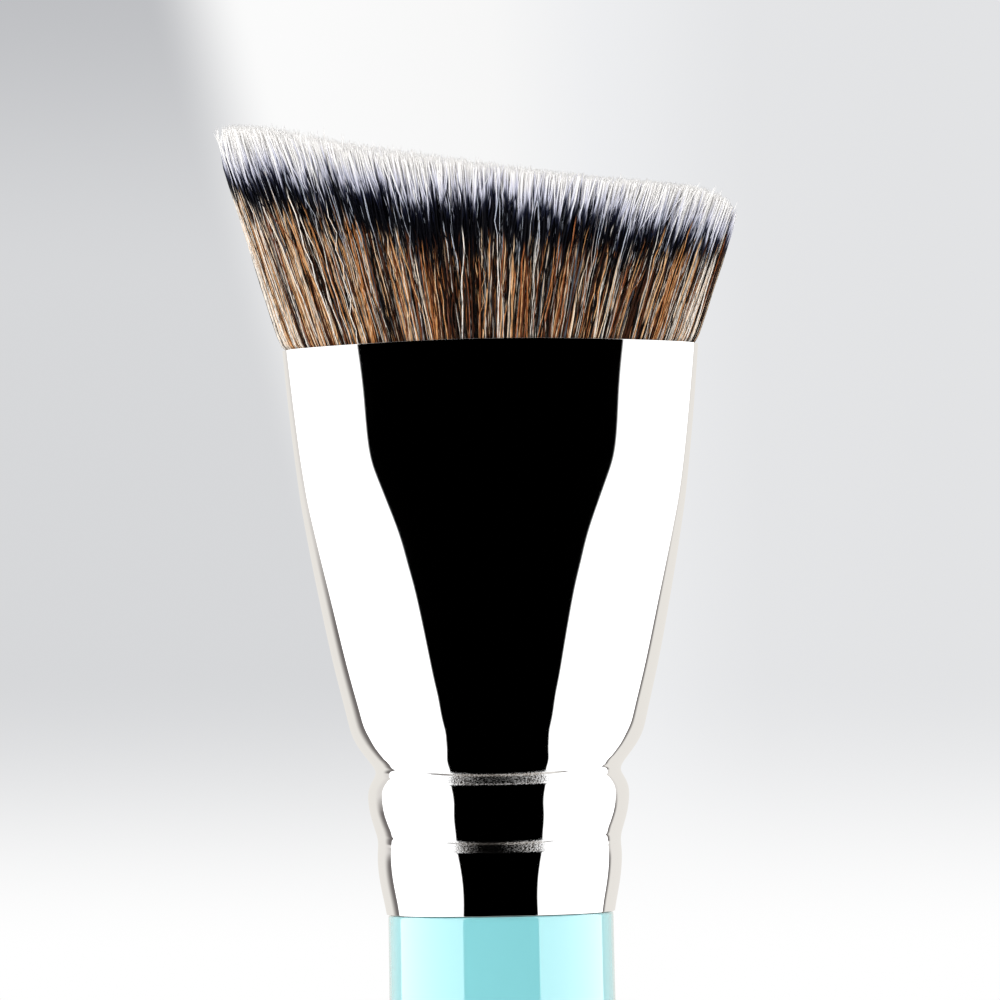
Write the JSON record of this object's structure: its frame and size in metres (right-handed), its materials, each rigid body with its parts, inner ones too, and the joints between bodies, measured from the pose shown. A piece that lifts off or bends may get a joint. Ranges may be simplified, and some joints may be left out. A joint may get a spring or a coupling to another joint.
{
  "type": "contour brush",
  "caption": "Flat, slant-cut contour brush for face make-up: tapered lacquered handle, plated ferrule pressed from round to oval, dense multi-tone hair.",
  "frame": {"origin": "centre of the small flat at the butt end of the handle", "axes": "+Z along the handle towards the hair, +X across the width of the flat head towards the short side of its slanted cut, -Y out of the front of the head"},
  "size_m": [0.0306, 0.0154, 0.1718],
  "materials": {
    "lacquered_wood": "turned wood under smooth high-gloss turquoise lacquer",
    "plated_metal": "mirror-bright nickel-chrome plating over a thin drawn metal tube, duller in the crimps",
    "adhesive": "set glue, pale and slightly cloudy",
    "cast_resin": "cast amber resin that binds the roots of the hair",
    "hair": "soft mixed hair: brown, tan, orange, grey and cream shafts, a dark band, and white tips"
  },
  "bodies": {
    "root": {"handle": "lacquered_wood", "ferrule": "plated_metal", "tenon_adhesive": "adhesive", "resin_plug": "cast_resin", "hair_row_1": "hair", "hair_row_2": "hair", "hair_row_3": "hair", "hair_row_4": "hair", "hair_row_5": "hair", "hair_row_6": "hair", "hair_row_7": "hair", "hair_row_8": "hair", "hair_row_9": "hair", "hair_row_10": "hair", "hair_row_11": "hair"}
  },
  "joints": []
}
